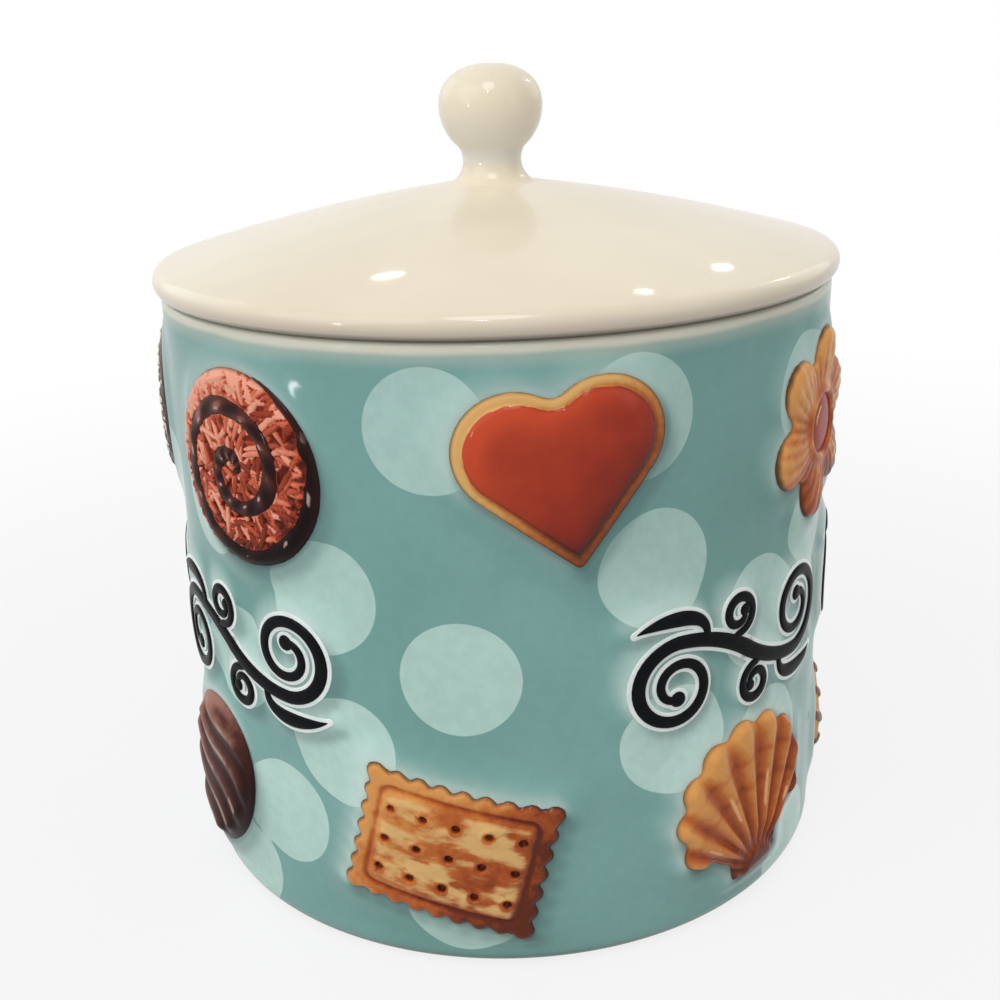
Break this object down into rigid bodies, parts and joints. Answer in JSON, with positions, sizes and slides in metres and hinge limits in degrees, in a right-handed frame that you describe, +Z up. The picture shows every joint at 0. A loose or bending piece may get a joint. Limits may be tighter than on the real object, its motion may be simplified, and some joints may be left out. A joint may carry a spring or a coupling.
{
  "type": "biscuit jar",
  "caption": "Round glazed ceramic biscuit jar with a lift-off domed lid and ball knob, raised biscuits and scrollwork on a dotted wall.",
  "frame": {"origin": "centre of the foot ring, on the surface that the jar stands on", "axes": "+Z up along the jar's axis; the front, where the scroll band has its wide gap, faces -Y"},
  "size_m": [0.21, 0.21, 0.2396],
  "materials": {
    "teal_glaze": "gloss",
    "ivory_glaze": "gloss",
    "seal_silicone": "satin",
    "golden_dough": "gloss",
    "cocoa_dough": "gloss",
    "red_icing": "gloss",
    "black_glaze": "gloss"
  },
  "bodies": {
    "jar": {"jar_body": "teal_glaze", "heart_biscuit": "red_icing", "flower_biscuit": "golden_dough", "chip_biscuit": "golden_dough", "star_biscuit": "golden_dough", "checker_biscuit": "cocoa_dough", "sugar_ring": "cocoa_dough", "pinwheel_biscuit": "cocoa_dough", "butter_biscuit": "golden_dough", "shell_biscuit": "golden_dough", "finger_biscuit": "golden_dough", "jam_biscuit": "red_icing", "waffle_biscuit": "golden_dough", "dipped_biscuit": "cocoa_dough", "cocoa_biscuit": "cocoa_dough", "scroll_1": "black_glaze", "scroll_2": "black_glaze", "scroll_3": "black_glaze", "scroll_4": "black_glaze", "scroll_5": "black_glaze", "scroll_6": "black_glaze"},
    "lid": {"lid": "ivory_glaze", "lid_knob": "ivory_glaze", "lid_seal": "seal_silicone"}
  },
  "joints": [
    {"name": "lid_lift", "type": "slide", "parent": "jar", "child": "lid", "axis": [0, 0, 1], "range_m": [0, 0.12]}
  ]
}
